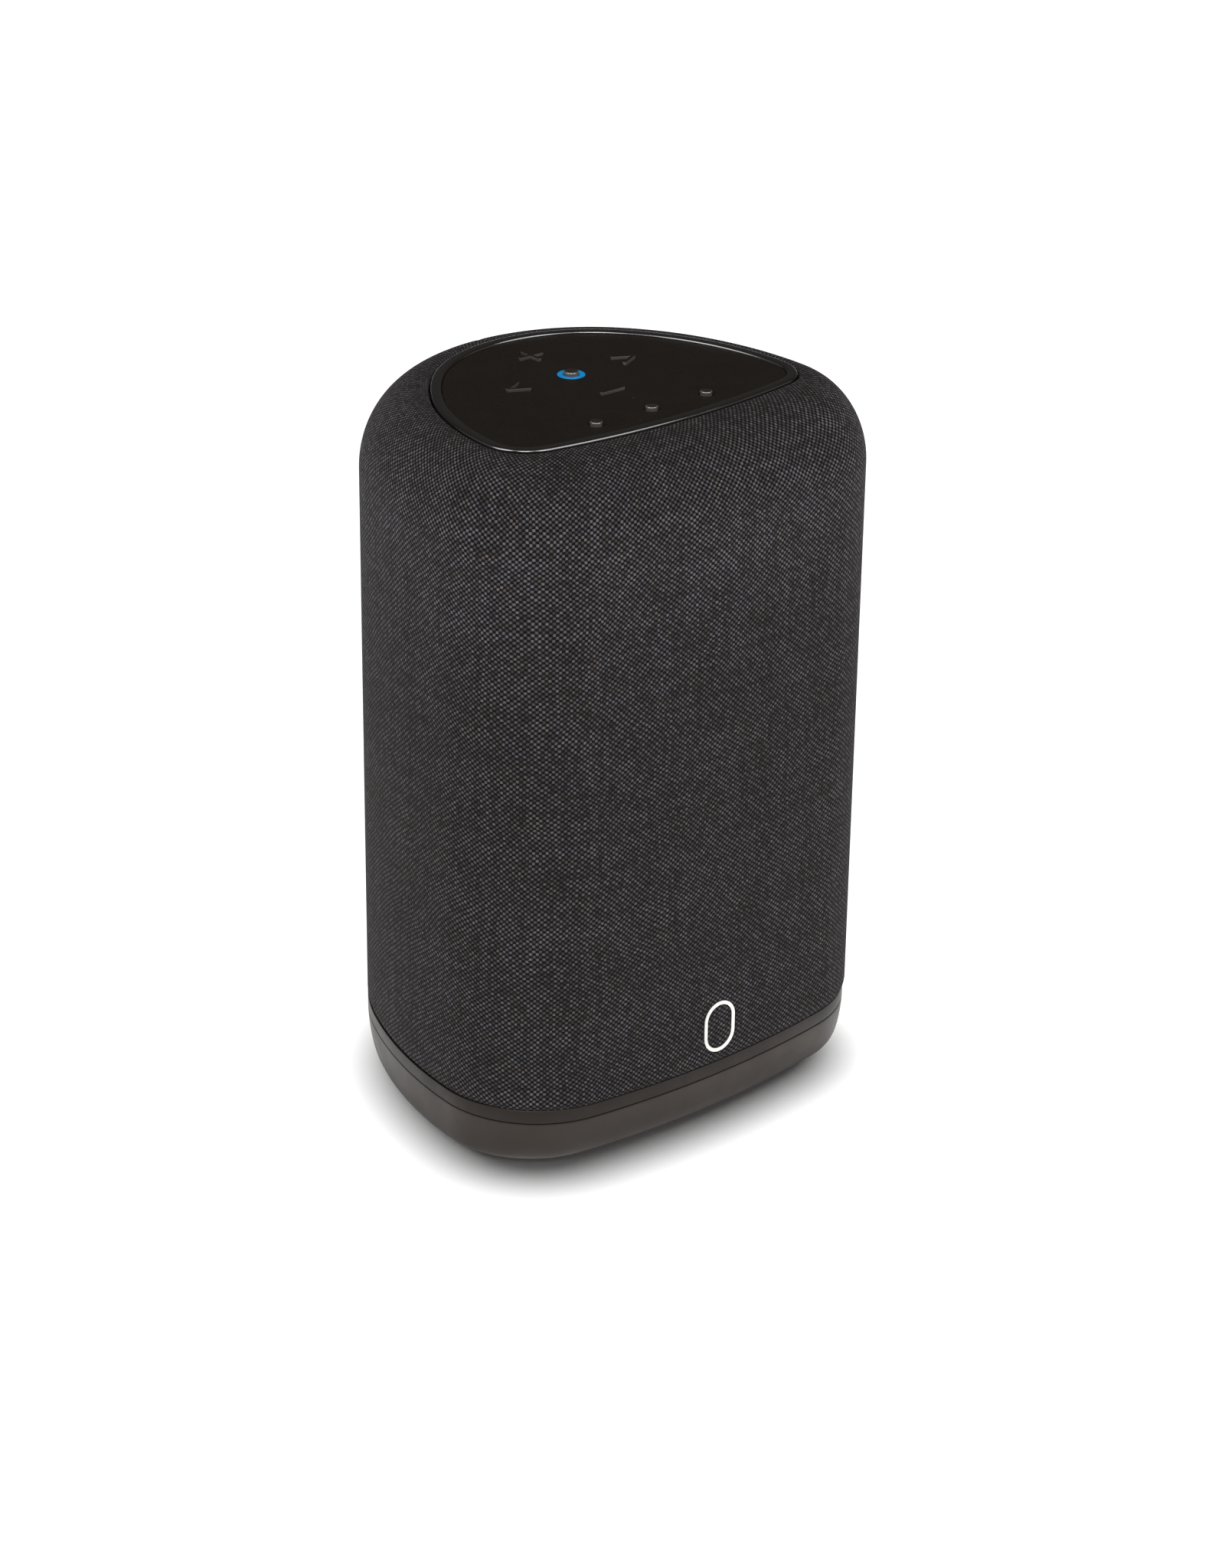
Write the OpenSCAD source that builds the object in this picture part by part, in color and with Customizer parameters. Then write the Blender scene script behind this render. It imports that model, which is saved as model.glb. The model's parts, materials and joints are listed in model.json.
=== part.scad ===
// Compact smart speaker hub: a fabric covered body on a rounded triangle plan, with a key panel
// set in the top, a plastic base, connectors at the back and a woofer and tweeter inside.
// Origin: centre of the footprint, on the surface it stands on. Front towards -Y, +Z up, in mm.

/* [Body] */
// Overall width
body_w = 125; // [120:1:130]
// Overall depth
body_d = 109.7; // [106:0.1:114]
// Height of the top trim ring
body_h = 184; // [176:1:200]
// Radius of the nearly flat front
front_r = 245.3; // [220:0.1:280]
// Radius of the two front corners
corner_r = 28.9; // [26:0.1:31]
// Radius of the two sides
side_r = 114.2; // [105:0.1:125]
// Radius of the back
back_r = 58.3; // [57:0.1:60]
// Height over which the top edge rolls in
shoulder_h = 21.1; // [18:0.1:24]

/* [Top] */
// Width of the top trim ring
rim_w = 94.4; // [90:0.1:98]
// Depth of the top trim ring
rim_d = 72.4; // [68:0.1:76]
// Shift of the trim ring towards the back
rim_shift = 0.85; // [0:0.05:2]
// Radius of the trim ring's front
rim_front_r = 206.3; // [190:0.1:220]
// Radius of the trim ring's front corners
rim_corner_r = 11.5; // [10:0.1:14]
// Radius of the trim ring's sides
rim_side_r = 65.3; // [62:0.1:68]
// Radius of the trim ring's back
rim_back_r = 40.3; // [38:0.1:42]
// Width of the trim ring's face
rim_face = 2.8; // [2:0.1:4]
// Drop from the trim ring to the key panel
panel_drop = 0.6; // [0.3:0.1:1]
// Thickness of the key panel
panel_t = 2; // [1.6:0.1:2.4]

/* [Keys] */
// Distance of the play key behind the centre
key_y = 6.1; // [4:0.1:8]
// Distance between columns
key_col = 17.4; // [15:0.1:19]
// Distance between rows
key_row = 15.9; // [14:0.1:17]
// Distance of the preset row behind the centre
preset_y = -24.6; // [-26:0.1:-22]
// Height of the raised symbols above the panel
symbol_h = 0.6; // [0.6:0.1:1.6]
// Height of the play key above the panel
play_h = 0.9; // [0.8:0.1:1.6]
// Height of the preset keys above the panel
preset_h = 0.7; // [0.6:0.1:1.2]
// Width of a symbol's stroke
stroke = 1; // [0.8:0.1:1.4]
// Length of the plus and minus strokes
stroke_l = 7.2; // [6:0.1:8]
// Gap round each symbol
key_gap = 0.2; // [0.15:0.05:0.3]
// Travel of a key
key_travel = 0.6; // [0.3:0.1:0.7]
// Diameter of the play key
play_d = 3.9; // [3:0.1:4.2]
// Diameter of the light ring round it
light_d = 7; // [6.4:0.1:8]
// Diameter of a preset key
preset_d = 3.0; // [2:0.1:3.4]
// Diameter of the shallow dish round a preset key
dish_d = 4.8; // [4.2:0.1:5.4]
// Depth of that dish
dish_h = 0.5; // [0.3:0.1:0.7]

/* [Base] */
// Height of the seam in the base
seam_z = 12; // [11:0.1:13]
// Height of the fabric's lower edge
hem_z = 15.9; // [15:0.1:17]
// Inset of the base from the fabric
base_inset = 0.25; // [0.2:0.05:0.6]
// How far back the base's outer face sits
base_shift = 0.35; // [0:0.05:0.4]
// Inset of the base where it meets the feet
toe_inset = 4.2; // [3.6:0.1:4.4]
// How much the toe widens, as a fraction of the width
toe_widen = 0.033; // [0:0.001:0.04]
// How early the skirt starts to curve in: lower is earlier
toe_power = 1.4; // [1.2:0.1:2]
// Clearance of the base above the surface
foot_gap = 0.5; // [0.4:0.1:1]

/* [Badge] */
// Width of the oval badge
badge_w = 10; // [8:0.1:12]
// Height of the oval badge
badge_h = 14.2; // [13:0.1:16]
// Height of the badge's centre
badge_z = 26.3; // [25:0.1:30]
// Width of the badge's line
badge_line = 0.95; // [0.7:0.05:1.4]

/* [Back] */
// Width of the connector plate
plate_w = 44; // [42:1:46]
// Lower edge of the connector plate
plate_z = 20; // [19:0.5:22]
// Height of the connector plate
plate_h = 46; // [46:1:48]
// Depth of the recess floor behind the centre
floor_y = 49.5; // [49:0.1:50]

/* [Drivers] */
// Height of the woofer's axis
woofer_z = 84; // [82:1:86]
// Height of the tweeter's axis
tweeter_z = 144; // [143:1:145]
// Front face of the baffle
baffle_y = -42; // [-43:0.1:-41]

/* [Hidden] */
$fn = 64;
fabric_t = 0.9;
wall_t = 1.75;
slack = 0.05;
cloth_top = body_h - 0.5;
shoulder_z = cloth_top - shoulder_h;
panel_top = body_h - panel_drop;
panel_low = panel_top - panel_t;
key_top = panel_low - 0.3;
flange_t = 1;
plunger_low = key_top - flange_t - 1.2;
switch_top = plunger_low - key_travel - 0.2;
board_top = switch_top - 1.5;
board_t = 1.2;
tray_low = board_top - board_t - 1.6;
band_low = seam_z + 0.15;
floor_t = 3.4;
floor_top = foot_gap + floor_t;
plate_edge = 5.3;
cabinet_low = 36;
cabinet_top = 160;
gasket_t = 0.8;
tub_back = 24;
back_cy = body_d / 2 - back_r;
plate_proud = 0.35;
KEY_SPOTS = [[0, key_y], [0, key_y + key_row], [0, key_y - key_row], [-key_col, key_y],
    [key_col, key_y], [-key_col, preset_y], [0, preset_y], [key_col, preset_y]];
PANEL_SCREWS = [[-30, 12], [30, 12], [-32, -16], [32, -16]];
BAFFLE_SCREWS = [[-45, 41], [45, 41], [-45, 155], [45, 155]];
woofer_screw_r = 41.2;

// Plan outlines. Each is a chain of four tangent arcs for the right half, front to back, as
// [centre x, centre y, radius, angle of the outward normal where the arc ends]. The angle is
// 0 at the front, 90 at the right and 180 at the back.
function heading(v) = atan2(v[0], -v[1]);
function meet(a, ra, b, rb) =
    let (d = norm(b - a), u = (b - a) / d, s = (ra * ra - rb * rb + d * d) / (2 * d),
         h = sqrt(ra * ra - s * s))
    a + s * u + h * [u[1], -u[0]];
function chain(w, d, cy, rf, rc, rs, rb) =
    let (front = [0, cy - d / 2 + rf], back = [0, cy + d / 2 - rb],
         side_x = w / 2 - rs,
         side = [side_x, back[1] - sqrt((rs - rb) * (rs - rb) - side_x * side_x)],
         corner = meet(side, rs - rc, front, rf - rc))
    [[front[0], front[1], rf, heading(corner - front)],
     [corner[0], corner[1], rc, heading(corner - side)],
     [side[0], side[1], rs, heading(back - side)],
     [back[0], back[1], rb, 181]];
BODY = chain(body_w, body_d, 0, front_r, corner_r, side_r, back_r);
RIM = chain(rim_w, rim_d, rim_shift, rim_front_r, rim_corner_r, rim_side_r, rim_back_r);
HALF = concat([for (i = [0:3]) i * 2.5], [for (i = [0:13]) 10 + i * 80 / 14],
    [for (i = [0:7]) 90 + i * 5.5], [for (i = [0:6]) 134 + i * 46 / 7]);
ANGLES = concat(HALF, [180], [for (i = [len(HALF) - 1:-1:1]) 360 - HALF[i]]);
function arc_point(arcs, phi, inset) =
    let (a = [for (k = arcs) if (phi <= k[3]) k][0])
    [a[0] + (a[2] - inset) * sin(phi), a[1] - (a[2] - inset) * cos(phi)];

// One ring of points at height z: blend 1 is the body's outline, 0 the trim ring's. It may be
// shifted back and widened in X by a fraction
function ring(blend, inset, z, shift = 0, widen = 0) = [for (phi = ANGLES)
    let (f = phi > 180 ? 360 - phi : phi, side = phi > 180 ? -1 : 1,
         p = blend * arc_point(BODY, f, inset) + (1 - blend) * arc_point(RIM, f, inset))
    [side * p[0] * (1 + widen), p[1] + shift, z]];
module flat(blend, inset) {
    polygon([for (p = ring(blend, inset, 0)) [p[0], p[1]]]);
}
module plate(blend, inset, z0, z1) {
    translate([0, 0, z0]) linear_extrude(z1 - z0) flat(blend, inset);
}
module wall(blend, outer, inner, z0, z1) {
    translate([0, 0, z0]) linear_extrude(z1 - z0) difference() {
        flat(blend, outer);
        flat(blend, inner);
    }
}
// Closed loop of rings, each [blend, inset, z] or [blend, inset, z, shift, widen], joined by
// triangles into a hollow body
module loop_loft(rings) {
    n = len(ANGLES);
    m = len(rings);
    polyhedron(points = [for (r = rings) each len(r) > 3 ? ring(r[0], r[1], r[2], r[3], r[4])
            : ring(r[0], r[1], r[2])],
        faces = [for (i = [0:m - 1]) for (j = [0:n - 1])
            let (a = i * n + j, b = i * n + (j + 1) % n,
                 c = ((i + 1) % m) * n + (j + 1) % n, d = ((i + 1) % m) * n + j)
            each [[a, c, b], [a, d, c]]]);
}
// Rings of the rolled shoulder, t inside the fabric's face, from angle u0 to u1
function shoulder(t, angles) = [for (u = angles)
    [cos(u), t * cos(u), shoulder_z + (shoulder_h - t) * sin(u)]];

// Turns a shape drawn in X and height so that it faces the back, at depth y, with length l
module along_y(y, l) {
    translate([0, y, 0]) rotate([90, 0, 0]) translate([0, 0, -l]) linear_extrude(l) children();
}
// A driver's own frame: its axis along local +Z, which points out of the front
module driver(z) {
    translate([0, baffle_y, z]) rotate([90, 0, 0]) children();
}
module rounded(w, h, r) {
    for (x = [-1, 1]) for (y = [-1, 1])
        translate([x * (w / 2 - r), y * (h / 2 - r)]) circle(r);
    square([w - 2 * r, h], center = true);
    square([w, h - 2 * r], center = true);
}
module pill(w, h) {
    for (s = [-1, 1]) translate([0, s * (h - w) / 2]) circle(w / 2);
    square([w, h - w], center = true);
}
module disc(r, z0, z1) {
    translate([0, 0, z0]) cylinder(r = r, h = z1 - z0);
}
module tube(r, hole, z0, z1) {
    difference() {
        disc(r, z0, z1);
        disc(hole, z0 - 1, z1 + 1);
    }
}

// ---- Skin and frame ----
module fabric_sleeve() color([0.13, 0.13, 0.14]) difference() {
    loop_loft(concat(
        [[1, 0.9, hem_z], [1, 0.3, hem_z + 0.6], [1, 0, hem_z + 2]],
        shoulder(0, [0:10:80]),
        [[0, -1.2, cloth_top], [0, -0.6, cloth_top - 0.35], [0, -0.4, cloth_top - 1.5],
         [0, -0.95, cloth_top - 1.9], [0, -1.3, cloth_top - 1.1]],
        shoulder(fabric_t, [80:-10:0]),
        [[1, fabric_t, hem_z + 2.2], [1, 1.6, hem_z + 0.8], [1, 1.6, hem_z]]));
    along_y(30, 40) translate([0, plate_z + plate_h / 2]) rounded(plate_w + 0.7, plate_h + 0.7, 4.3);
}
module grille_frame() color([0.08, 0.08, 0.08]) difference() {
    wall(1, fabric_t + slack, fabric_t + wall_t, hem_z + 2.4, shoulder_z - 0.1);
    for (i = [-6:6]) for (j = [0:5])
        translate([i * 7 - 2, -body_d, 34 + j * 21]) cube([4, body_d / 2 + 20, 16]);
    along_y(30, 40) translate([0, plate_z + plate_h / 2]) square([plate_w + 1.2, plate_h + 1.2],
        center = true);
}
module shoulder_housing() color([0.08, 0.08, 0.08]) {
    t = fabric_t + slack;
    loop_loft(concat(
        shoulder(t, [0:10:80]),
        [[0, -1.5, cloth_top - 1.2], [0, -1.5, cloth_top - 3], [0, 3, cloth_top - 3],
         [0, 3, cloth_top - 5], [0, -2, cloth_top - 5]],
        shoulder(t + wall_t, [70:-10:0])));
}
module top_rim() color([0.05, 0.05, 0.05])
    loop_loft([[0, 0, body_h - 3.4], [0, 0, body_h - 0.6], [0, 0.15, body_h - 0.25],
        [0, 0.5, body_h - 0.05], [0, 0.9, body_h], [0, rim_face - 0.8, body_h],
        [0, rim_face - 0.3, body_h - 0.15], [0, rim_face - 0.05, body_h - 0.5],
        [0, rim_face, body_h - 0.8], [0, rim_face, body_h - 3.4]]);

// ---- Key panel ----
module plus_shape(g) {
    square([stroke_l + 2 * g, stroke + 2 * g], center = true);
    square([stroke + 2 * g, stroke_l + 2 * g], center = true);
}
module minus_shape(g) {
    square([stroke_l + 2 * g, stroke + 2 * g], center = true);
}
module arrow_shape(g) {
    for (s = [-1, 1]) translate([-2.7, 0]) rotate(s * 27)
        translate([-g, -stroke / 2 - g]) square([5.9 + 2 * g, stroke + 2 * g]);
}
// A key: its symbol, a flange under the panel and a plunger over its switch
module key(x, y, h) {
    translate([x, y, 0]) {
        translate([0, 0, key_top - slack]) linear_extrude(panel_top + h - key_top + slack)
            children();
        disc(4.4, key_top - flange_t, key_top);
        disc(1.4, plunger_low, key_top - flange_t + slack);
    }
}
module control_panel() color([0.1, 0.09, 0.08]) difference() {
    union() {
        plate(0, rim_face + slack, panel_low, panel_top);
        for (p = PANEL_SCREWS) translate(p) disc(2.2, board_top + 0.1, panel_low + slack);
    }
    translate([0, key_y, 0]) disc(light_d / 2 + slack, panel_low - 1, panel_top + 1);
    translate([0, 0, panel_low - 1]) linear_extrude(panel_t + 2) {
        translate([0, key_y + key_row]) plus_shape(key_gap);
        translate([0, key_y - key_row]) minus_shape(key_gap);
        translate([-key_col, key_y]) arrow_shape(key_gap);
        translate([key_col, key_y]) mirror([1, 0]) arrow_shape(key_gap);
    }
    for (i = [-1:1]) translate([i * key_col, preset_y, 0]) {
        disc(preset_d / 2 + key_gap, panel_low - 1, panel_top + 1);
        translate([0, 0, panel_top - dish_h])
            cylinder(r1 = preset_d / 2 + key_gap, r2 = dish_d - preset_d / 2 - key_gap,
                h = 2 * dish_h);
    }
    for (p = PANEL_SCREWS) translate(p) disc(0.9, board_top - 1, panel_low);
}
module play_button() color([0.16, 0.16, 0.17]) {
    translate([0, key_y, 0]) {
        disc(play_d / 2, key_top - flange_t - 0.9, panel_top + play_h - 0.2);
        disc(play_d / 2 - 0.25, panel_top + play_h - 0.3, panel_top + play_h);
        disc(3.2, key_top - flange_t - 1.2, key_top - flange_t - 0.7);
    }
}
module volume_up_button() color([0.14, 0.14, 0.15])
    key(0, key_y + key_row, symbol_h) plus_shape(0);
module volume_down_button() color([0.14, 0.14, 0.15])
    key(0, key_y - key_row, symbol_h) minus_shape(0);
module previous_button() color([0.14, 0.14, 0.15]) key(-key_col, key_y, symbol_h) arrow_shape(0);
module next_button() color([0.14, 0.14, 0.15])
    key(key_col, key_y, symbol_h) mirror([1, 0]) arrow_shape(0);
module preset_button(i) color([0.16, 0.16, 0.17]) key(i * key_col, preset_y, preset_h)
    circle(preset_d / 2);
module light_ring() color([0, 0.5, 0.75]) translate([0, key_y, 0])
    tube(light_d / 2, play_d / 2 + key_gap, key_top - flange_t + 0.3, panel_top);
module panel_carrier() color([0.12, 0.12, 0.12]) difference() {
    union() {
        wall(0, rim_face + 0.5, rim_face + 2.3, tray_low, panel_low - slack);
        plate(0, rim_face + 0.5, tray_low, tray_low + 1.4);
    }
    for (p = PANEL_SCREWS) translate(p) disc(1.2, tray_low - 1, tray_low + 2);
    translate([-8, 24, tray_low - 1]) cube([16, 6, 4]);
}
module button_board() color([0.05, 0.3, 0.15]) difference() {
    plate(0, rim_face + 3, board_top - board_t, board_top);
    for (p = PANEL_SCREWS) translate(p) disc(1.2, board_top - 2, board_top + 1);
}
module key_switches() color([0.75, 0.75, 0.72]) for (p = KEY_SPOTS) translate(p) {
    translate([-2.2, -2.2, board_top]) cube([4.4, 4.4, 0.9]);
    disc(1.1, board_top + 0.9 - slack, switch_top);
}
module ring_leds() color([0.9, 0.9, 0.8]) for (s = [-1, 1])
    translate([s * 4.2 - 0.8, key_y - 0.8, board_top]) cube([1.6, 1.6, 0.8]);
module panel_screws() color([0.6, 0.6, 0.62]) for (p = PANEL_SCREWS) translate(p) {
    disc(0.8, tray_low - 0.1, board_top + 4);
    disc(1.8, tray_low - 1.2, tray_low);
}

// ---- Front and base ----
module front_badge() color([0.93, 0.92, 0.88])
    along_y(-body_d / 2 - plate_proud, plate_proud - 0.02) translate([0, badge_z])
        difference() {
            pill(badge_w, badge_h);
            pill(badge_w - 2 * badge_line, badge_h - 2 * badge_line);
        }
// Screw bosses stand 8.6 inside the outline, at these angles of its normal
BOSS_ANGLES = [30, 125];
function boss_spots() = [for (s = [-1, 1]) for (f = BOSS_ANGLES)
    let (p = arc_point(BODY, f, 8.6)) [s * p[0], p[1]]];
module base_band() color([0.2, 0.19, 0.18]) difference() {
    union() {
        translate([0, base_shift, 0]) wall(1, base_inset, 3.9, band_low, hem_z - slack);
        wall(1, 3, 4.7, seam_z - 4, hem_z + 3);
        for (p = boss_spots()) translate(p) disc(4, floor_top + slack, hem_z);
    }
    for (p = boss_spots()) translate(p) disc(1.3, floor_top - 1, hem_z - 2);
    along_y(-body_d, body_d / 2 + 10) translate([0, 13.8]) circle(0.45);
}
// A ring of the skirt, t of the way down from just under the seam to the toe
function skirt(t) = let (w = 1 - sqrt(1 - pow(t, toe_power)), top = seam_z - 0.4)
    [1, base_inset + (toe_inset - base_inset) * w, top + (foot_gap - top) * t, base_shift,
     toe_widen * w];
module base_shell() color([0.22, 0.21, 0.2]) loop_loft(concat(
    [for (k = [0:8]) skirt(1 - k * k / 64)],
    [[1, base_inset, seam_z - 0.2, base_shift, 0],
     [1, base_inset + 0.2, seam_z, base_shift, 0],
     [1, 2.9, seam_z], [1, 2.9, seam_z - 4.2], [1, 4.4, seam_z - 5.6], [1, 4.4, floor_top + 0.2],
     [1, plate_edge - 0.1, floor_top + 0.2], [1, plate_edge - 0.1, foot_gap]]));
module bottom_plate() color([0.15, 0.15, 0.15]) difference() {
    union() {
        plate(1, plate_edge, foot_gap, floor_top);
        for (x = [-30, 30]) for (y = [-26, 20]) translate([x, y, 0]) disc(3, foot_gap + 2, hem_z);
    }
    wall(1, plate_edge + 0.6, 12.6, foot_gap - 1, foot_gap + 1);
    for (p = boss_spots()) translate(p) {
        disc(1.6, 0, floor_top + 1);
        disc(3, 0, foot_gap + 2);
    }
    for (i = [-3:3]) translate([i * 7 - 1.25, -14, 0]) cube([2.5, 24, floor_top + 1]);
}
module foot_ring() color([0.05, 0.05, 0.05]) wall(1, plate_edge + 0.8, 12.4, 0, foot_gap + 0.95);
module base_screws() color([0.6, 0.6, 0.62]) for (p = boss_spots()) translate(p) {
    disc(2.7, foot_gap + 1.05, foot_gap + 1.95);
    disc(1.2, foot_gap + 1.9, hem_z - 4);
}
module status_lens() color([0.55, 0.57, 0.6])
    along_y(-body_d / 2 + base_inset + base_shift + 0.05, 3.4)
    translate([0, 13.8]) circle(0.4);
module status_led() color([0.9, 0.9, 0.8]) translate([-2, -body_d / 2 + 5, 12.4]) {
    cube([4, 1, 3]);
    translate([0, 0.95, -2]) cube([4, 0.8, 6]);
}

// ---- Connectors at the back ----
INLET = [0, 30.5];
pin_r = 1.2;
PINS = [for (s = [-1, 1]) INLET + [s * 4.35, 0]];
ETHERNET = [-8, 45];
USB = [0, 57.4];
AUX = [10, 41.8];
SETUP = [10, 49.6];
nose_y = floor_y + 0.2;
back_y = floor_y - 1.8;
module rear_plate() color([0.07, 0.07, 0.07]) difference() {
    intersection() {
        along_y(40, 20) translate([0, plate_z + plate_h / 2]) rounded(plate_w, plate_h, 4);
        translate([0, back_cy, 0]) cylinder(r = back_r + plate_proud, h = 100, $fn = 128);
        union() {
            translate([0, back_cy, 0]) tube(back_r + 5, back_r - fabric_t - wall_t, 0, 100);
            translate([-20, back_y, plate_z + 2]) cube([40, 20, plate_h - 4]);
        }
    }
    translate([-18.5, floor_y, plate_z + 3.5]) cube([37, 20, plate_h - 7]);
    along_y(back_y - 1, 5) {
        translate(INLET) rounded(20.3, 10.7, 3.15);
        translate(ETHERNET) square([15.3, 13.3], center = true);
        translate(USB) square([13.5, 6.1], center = true);
        translate(AUX) circle(4.05);
        translate(SETUP) circle(1.95);
    }
}
module figure_eight(g) {
    for (s = [-1, 1]) translate([s * 4.35, 0]) circle(4.2 + g);
    square([8.7, 8.4 + 2 * g], center = true);
}
module power_inlet() color([0.06, 0.06, 0.06]) difference() {
    union() {
        along_y(back_y - 14, nose_y - back_y + 14) translate(INLET) rounded(20, 10.4, 3);
        along_y(back_y - 3, 2.9) translate(INLET) rounded(23, 12.4, 2);
    }
    along_y(nose_y - 11.5, 12) translate(INLET) figure_eight(0);
    for (p = PINS) along_y(back_y - 15, 10) translate(p) circle(pin_r + slack);
}
module inlet_pins() color([0.8, 0.8, 0.8]) for (p = PINS)
    along_y(nose_y - 20, 18) translate(p) circle(pin_r);
module ethernet_jack() color([0.7, 0.7, 0.7]) difference() {
    union() {
        along_y(35, back_y - 35.1) translate(ETHERNET) square([16, 14], center = true);
        along_y(40, nose_y - 40) translate(ETHERNET) square([15, 13], center = true);
    }
    along_y(37.5, 20) translate(ETHERNET) {
        translate([-5.9, -2.6]) square([11.8, 7.6]);
        translate([-3, -4.4]) square([6, 2]);
        translate([-1.7, -5.4]) square([3.4, 1.2]);
    }
}
module usb_socket() color([0.75, 0.75, 0.75]) {
    difference() {
        along_y(35, nose_y - 35) translate(USB) square([13.2, 5.8], center = true);
        along_y(37, 20) translate(USB) square([12.5, 5.1], center = true);
    }
    along_y(36.9, 10) translate(USB + [0, 1]) square([11, 1.9], center = true);
}
module aux_jack() color([0.09, 0.09, 0.09]) difference() {
    union() {
        along_y(35, back_y - 35.1) translate(AUX) square([8.4, 7], center = true);
        along_y(40, nose_y - 40) translate(AUX) circle(3.9);
    }
    along_y(36.5, 20) translate(AUX) circle(1.8);
}
module setup_button() color([0.5, 0.5, 0.52]) {
    along_y(back_y - 2, nose_y + 0.5 - back_y + 2) translate(SETUP) circle(1.7);
    along_y(back_y - 1.5, 1.2) translate(SETUP) circle(2.6);
}
module setup_switch() color([0.8, 0.8, 0.78]) {
    along_y(35, back_y - 2.9 - 35) translate(SETUP) circle(1.2);
    along_y(35, 7) translate(SETUP) square([5, 5], center = true);
}
module io_board() color([0.05, 0.3, 0.15]) translate([-19, 33.4, 37.6]) cube([38, 1.55, 26]);

// ---- Acoustic box ----
module box_slice(inset, y0, y1) {
    intersection() {
        flat(1, inset);
        translate([-body_w / 2, y0]) square([body_w, y1 - y0]);
    }
}
module front_baffle() color([0.11, 0.11, 0.11]) difference() {
    along_y(baffle_y, 3) translate([0, (cabinet_low + cabinet_top) / 2])
        rounded(100, cabinet_top - cabinet_low, 5);
    driver(woofer_z) disc(39.2, -5, 5);
    driver(tweeter_z) disc(10.6, -5, 5);
    for (p = BAFFLE_SCREWS) driver(p[1]) translate([p[0], 0, 0]) disc(1.5, -5, 5);
    driver(woofer_z) for (i = [0:3]) rotate(45 + i * 90) translate([woofer_screw_r, 0, 0])
        disc(1, -5, 5);
}
module cabinet_gasket() color([0.2, 0.2, 0.2]) difference() {
    along_y(baffle_y + 3, gasket_t) translate([0, (cabinet_low + cabinet_top) / 2])
        rounded(99, cabinet_top - cabinet_low - 1, 5);
    along_y(baffle_y + 2, 3) translate([0, (cabinet_low + cabinet_top) / 2])
        rounded(91, cabinet_top - cabinet_low - 9, 3);
    for (p = BAFFLE_SCREWS) driver(p[1]) translate([p[0], 0, 0]) disc(1.5, -5, 5);
}
module cabinet_tub() color([0.13, 0.13, 0.13]) {
    y0 = baffle_y + 3 + gasket_t;
    difference() {
        union() {
            difference() {
                translate([0, 0, cabinet_low]) linear_extrude(cabinet_top - cabinet_low)
                    box_slice(6, y0, tub_back);
                translate([0, 0, cabinet_low + 3]) linear_extrude(cabinet_top - cabinet_low - 6)
                    box_slice(9, y0 - 1, tub_back - 3);
            }
            for (p = BAFFLE_SCREWS) along_y(y0, 10) translate(p) circle(3.4);
        }
        for (p = BAFFLE_SCREWS) along_y(y0 - 1, 9) translate(p) circle(1.15);
    }
}
module cabinet_screws() color([0.6, 0.6, 0.62]) {
    for (p = BAFFLE_SCREWS) driver(p[1]) translate([p[0], 0, 0]) {
        disc(1.05, -10, 0.1);
        disc(2.2, 0, 1.2);
    }
    driver(woofer_z) for (i = [0:3]) rotate(45 + i * 90) translate([woofer_screw_r, 0, 0]) {
        disc(0.9, -4, 2.1);
        disc(1.6, 2, 2.9);
    }
}

// ---- Woofer, drawn about its own axis ----
module turned(points) {
    rotate_extrude($fn = 96) polygon(points);
}
module woofer_basket() color([0.1, 0.1, 0.1]) driver(woofer_z) difference() {
    turned([[38.8, 0], [43, 0], [43, 2], [36.8, 2], [36.8, 0.2], [24.6, -16.5], [24.6, -18.3],
        [21.2, -18.3], [21.2, -20], [12.5, -20], [12.5, -22], [25.6, -22], [38.8, -1.5]]);
    for (i = [0:5]) rotate(i * 60) translate([16, -6, -16]) cube([30, 12, 11]);
    for (i = [0:3]) rotate(45 + i * 90) translate([woofer_screw_r, 0, 0]) disc(1, -1, 3);
}
module woofer_magnet() color([0.25, 0.25, 0.26]) driver(woofer_z) tube(24, 14, -33, -25);
module woofer_yoke() color([0.6, 0.6, 0.62]) driver(woofer_z) {
    tube(22, 11.15, -25, -22);
    disc(23, -36, -33);
    disc(9.8, -34, -21.5);
}
module woofer_coil() color([0.75, 0.45, 0.2]) driver(woofer_z) tube(10.75, 10.2, -30, -11);
module woofer_cone() color([0.14, 0.14, 0.15]) driver(woofer_z)
    turned([[10.8, -12], [11.6, -12], [32.6, 1], [34.2, 1], [34.2, 1.7], [32.4, 1.7],
        [10.8, -11.3]]);
module woofer_dust_cap() color([0.16, 0.16, 0.17]) driver(woofer_z) difference() {
    translate([0, 0, -17]) sphere(14, $fn = 96);
    translate([0, 0, -17]) sphere(13.4, $fn = 96);
    translate([-20, -20, -40]) cube([40, 40, 29.8]);
}
module woofer_surround() color([0.06, 0.06, 0.06]) driver(woofer_z) {
    rotate_extrude($fn = 96) {
        translate([36.4, 2.1]) difference() {
            circle(2.5, $fn = 32);
            circle(2, $fn = 32);
            translate([-4, -4]) square([8, 4]);
        }
        translate([32.6, 2.1]) square([1.5, 0.5]);
        translate([38.7, 2.1]) square([0.7, 0.5]);
    }
}
module woofer_spider() color([0.75, 0.6, 0.3]) driver(woofer_z)
    turned(concat([for (i = [0:20]) [11.1 + i * 0.5, -18.2 + 0.6 * sin(i * 90)]],
        [[24.2, -18.2], [24.2, -17.8]],
        [for (i = [20:-1:0]) [11.1 + i * 0.5, -17.8 + 0.6 * sin(i * 90)]]));

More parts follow.
